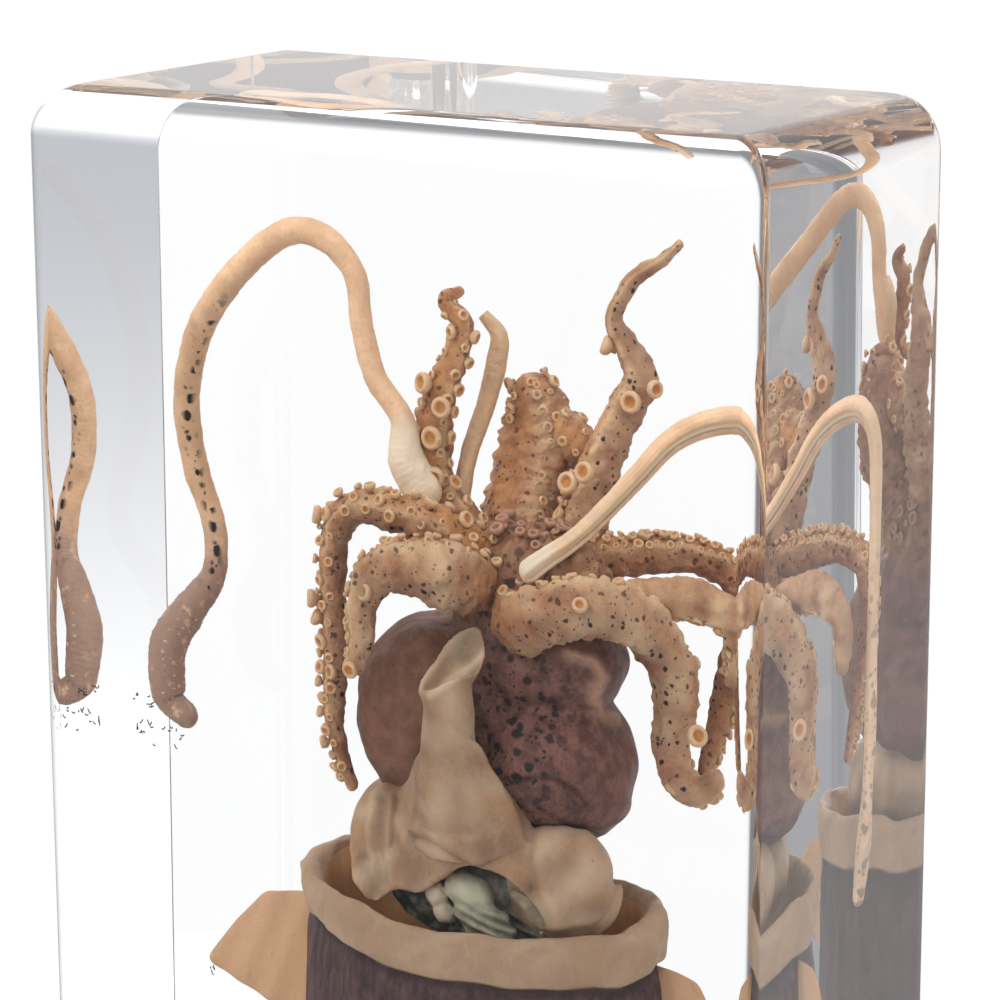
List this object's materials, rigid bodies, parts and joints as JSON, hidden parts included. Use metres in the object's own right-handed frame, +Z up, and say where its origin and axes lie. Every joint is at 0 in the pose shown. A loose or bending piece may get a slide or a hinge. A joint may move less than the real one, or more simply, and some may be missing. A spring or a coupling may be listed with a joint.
{
  "type": "cuttlefish specimen in clear block",
  "caption": "Preserved cuttlefish, head up with its arms and tentacles spread, sealed in an upright rectangular block of clear resin with rounded edges.",
  "frame": {"origin": "middle of the block's underside, on the surface that it stands on", "axes": "+Z up along the block's long side, +X to the right of the broad face that shows the animal's funnel side, +Y from that face to the back"},
  "size_m": [0.06, 0.028, 0.12],
  "materials": {
    "resin": "polished clear casting",
    "mantle_skin": "smooth wet-looking skin, dark spotted",
    "head_skin": "smooth skin with dark spots",
    "pale_flesh": "smooth pale flesh",
    "gill": "soft grey green tissue",
    "arm_skin": "matt orange brown skin with suckers",
    "tentacle_skin": "smooth pale skin, spotted"
  },
  "bodies": {
    "root": {"block_front": "resin", "block_back": "resin", "mantle": "mantle_skin", "head": "head_skin", "gills": "gill", "funnel": "pale_flesh", "tentacle_left": "tentacle_skin", "tentacle_right": "tentacle_skin", "arm_front_left": "arm_skin", "arm_front_right": "arm_skin", "arm_lower_right": "arm_skin", "arm_middle": "arm_skin", "arm_side_left": "arm_skin", "arm_side_right": "arm_skin", "arm_upper_left": "arm_skin", "arm_upper_right": "arm_skin"}
  },
  "joints": []
}
